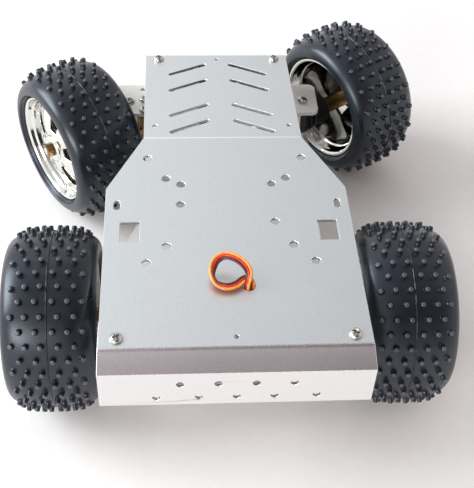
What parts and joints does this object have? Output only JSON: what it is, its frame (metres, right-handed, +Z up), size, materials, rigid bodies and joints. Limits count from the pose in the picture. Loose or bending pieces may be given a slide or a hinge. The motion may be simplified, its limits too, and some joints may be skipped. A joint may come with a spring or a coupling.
{
  "type": "four wheel robot chassis",
  "caption": "Sheet-metal robot car chassis with pin-tread tyres on chromed rims, servo steering at the front and geared motors at the rear.",
  "frame": {"origin": "on the ground under the chassis, on its centre line, midway between the axles and at the middle of the overall box", "axes": "+X to the right, +Y forward towards the steered wheels, +Z up"},
  "size_m": [0.2238, 0.2653, 0.0921],
  "materials": {
    "deck_metal": "fine sand-blasted anodised sheet, satin",
    "bumper_metal": "light satin anodised sheet",
    "plate_metal": "satin sheet and turned aluminium",
    "horn_metal": "satin",
    "brass": "drawn hexagon bar, semi-bright",
    "screw_steel": "zinc plated",
    "stop_metal": "turned, semi-bright",
    "black_plastic": "fine spark-eroded texture",
    "black_nylon": "moulded nylon, satin",
    "gearbox_steel": "turned and plated",
    "motor_steel": "drawn and plated can",
    "bearing_steel": "ground",
    "shaft_steel": "ground",
    "wire_insulation": "brown, red and orange wires side by side",
    "tyre_rubber": "moulded rubber with round pins",
    "rim_chrome": "vacuum-plated plastic"
  },
  "bodies": {
    "chassis": {"deck_plate": "deck_metal", "rear_bumper": "bumper_metal", "bottom_plate": "plate_metal", "corner_nuts": "screw_steel", "deck_screws": "screw_steel", "pan_head_screws": "screw_steel", "front_upper_plate": "plate_metal", "front_posts": "brass", "nose_bracket": "plate_metal", "kingpin_screws": "screw_steel", "kingpin_spacers": "plate_metal", "kingpin_nuts": "screw_steel", "steering_stops": "stop_metal", "servo_case": "black_plastic", "servo_gear_cover": "black_plastic", "servo_base_cover": "black_plastic", "servo_spacers": "plate_metal", "servo_screws": "screw_steel", "motor_bracket_left": "plate_metal", "motor_bracket_right": "plate_metal", "gearbox_left": "gearbox_steel", "gearbox_right": "gearbox_steel", "motor_can_left": "motor_steel", "motor_can_right": "motor_steel", "motor_end_caps": "black_plastic", "motor_screws": "screw_steel", "servo_lead": "wire_insulation", "servo_plug": "black_plastic"},
    "wheel_front_left": {"tyre_front_left": "tyre_rubber", "rim_front_left": "rim_chrome", "hex_hub_front_left": "brass", "wheel_nut_front_left": "brass", "axle_front_left": "shaft_steel"},
    "wheel_front_right": {"tyre_front_right": "tyre_rubber", "rim_front_right": "rim_chrome", "hex_hub_front_right": "brass", "wheel_nut_front_right": "brass", "axle_front_right": "shaft_steel"},
    "wheel_rear_left": {"tyre_rear_left": "tyre_rubber", "rim_rear_left": "rim_chrome", "hex_hub_rear_left": "brass", "wheel_nut_rear_left": "brass", "motor_shaft_left": "shaft_steel"},
    "wheel_rear_right": {"tyre_rear_right": "tyre_rubber", "rim_rear_right": "rim_chrome", "hex_hub_rear_right": "brass", "wheel_nut_rear_right": "brass", "motor_shaft_right": "shaft_steel"},
    "knuckle_left": {"knuckle_left": "black_nylon", "bearings_left": "bearing_steel", "arm_screw_left": "screw_steel"},
    "knuckle_right": {"knuckle_right": "black_nylon", "bearings_right": "bearing_steel", "arm_screw_right": "screw_steel"},
    "tie_rod": {"tie_rod": "shaft_steel", "rod_ends": "black_nylon"},
    "servo_horn": {"servo_horn": "horn_metal", "servo_shaft": "brass", "horn_screws": "screw_steel"}
  },
  "joints": [
    {"name": "steer_right", "type": "hinge", "parent": "chassis", "child": "knuckle_right", "pos_m": [0.0485, 0.073, 0.043], "axis": [0, 0, 1], "range_deg": [-65.4, 0]},
    {"name": "steer_left", "type": "hinge", "parent": "chassis", "child": "knuckle_left", "pos_m": [-0.0485, 0.073, 0.043], "axis": [0, 0, 1], "range_deg": [-65.4, 0]},
    {"name": "servo_turn", "type": "hinge", "parent": "chassis", "child": "servo_horn", "pos_m": [0, 0.073, 0.03], "axis": [0, 0, 1], "range_deg": [-65.4, 0]},
    {"name": "tie_rod_pivot", "type": "hinge", "parent": "knuckle_left", "child": "tie_rod", "pos_m": [-0.0593, 0.08983, 0.03275], "axis": [0, 0, 1], "range_deg": [0, 65.4]},
    {"name": "spin_front_left", "type": "hinge", "parent": "knuckle_left", "child": "wheel_front_left", "pos_m": [-0.07543, 0.05571, 0.043], "axis": [0.8415, 0.5402, 0], "continuous": true},
    {"name": "spin_front_right", "type": "hinge", "parent": "knuckle_right", "child": "wheel_front_right", "pos_m": [0.07543, 0.09029, 0.043], "axis": [0.8415, 0.5402, 0], "continuous": true},
    {"name": "spin_rear_left", "type": "hinge", "parent": "chassis", "child": "wheel_rear_left", "pos_m": [-0.0792, -0.073, 0.043], "axis": [1, 0, 0], "continuous": true},
    {"name": "spin_rear_right", "type": "hinge", "parent": "chassis", "child": "wheel_rear_right", "pos_m": [0.0792, -0.073, 0.043], "axis": [1, 0, 0], "continuous": true}
  ],
  "couplings": [
    {"joint": "steer_left", "follows": "steer_right", "ratio": 1},
    {"joint": "servo_turn", "follows": "steer_right", "ratio": 1},
    {"joint": "tie_rod_pivot", "follows": "steer_right", "ratio": -1}
  ]
}
